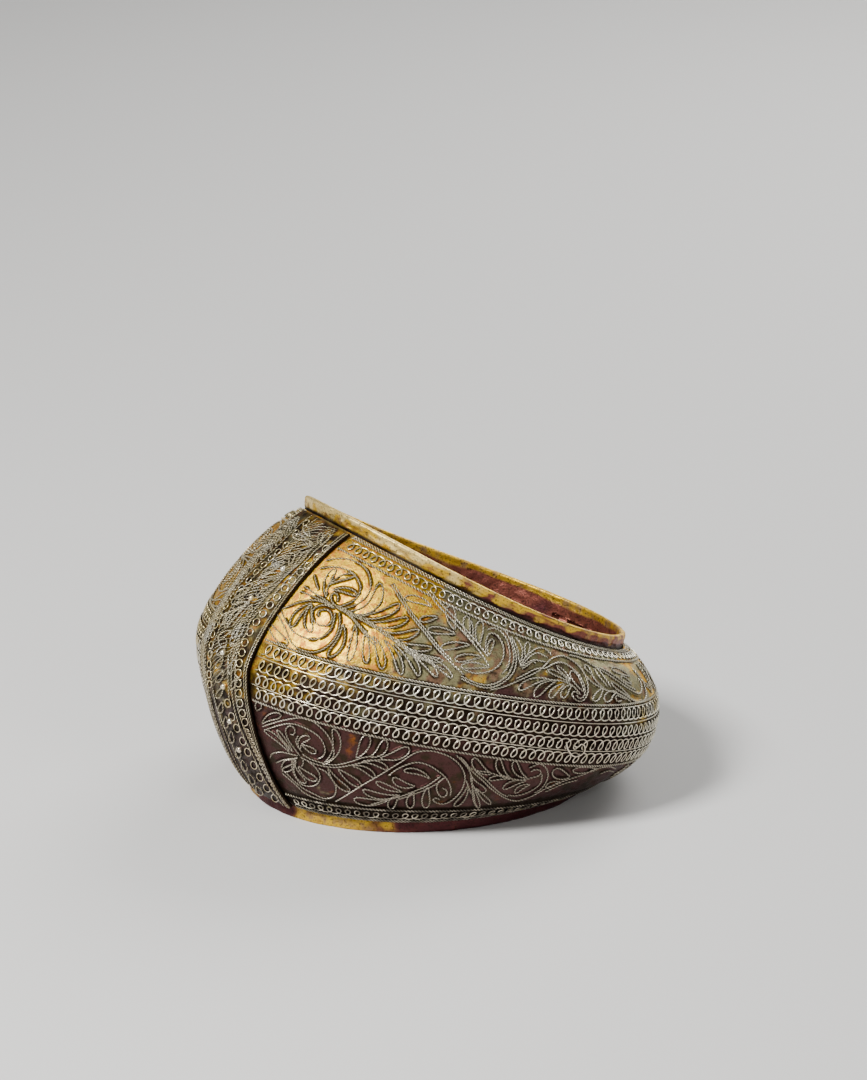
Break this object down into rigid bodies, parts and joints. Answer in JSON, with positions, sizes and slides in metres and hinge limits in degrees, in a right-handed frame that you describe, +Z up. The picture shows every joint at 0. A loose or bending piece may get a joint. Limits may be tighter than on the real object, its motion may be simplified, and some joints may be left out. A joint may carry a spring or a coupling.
{
  "type": "filigree bangle",
  "caption": "Wedge-shaped gilt bangle: a plain inner cuff, a hollow bulging shell covered with wire filigree, and a strap panel at its tallest side.",
  "frame": {"origin": "under the middle of the bangle's bounding box, on the surface that it stands on", "axes": "+Z up from the lower rim, +Y from the panel's tall side towards the low back, +X to the side; the bangle is symmetric about X = 0"},
  "size_m": [0.0902, 0.0937, 0.0607],
  "materials": {
    "gilt": "worn gilding with brown and purple tarnish",
    "filigree": "silver-gilt wire on a patinated gilt ground",
    "panel_silver": "worn silver-gilt wire with dark hollows"
  },
  "bodies": {
    "root": {"inner_cuff": "gilt", "outer_shell": "filigree", "front_panel": "panel_silver"}
  },
  "joints": []
}
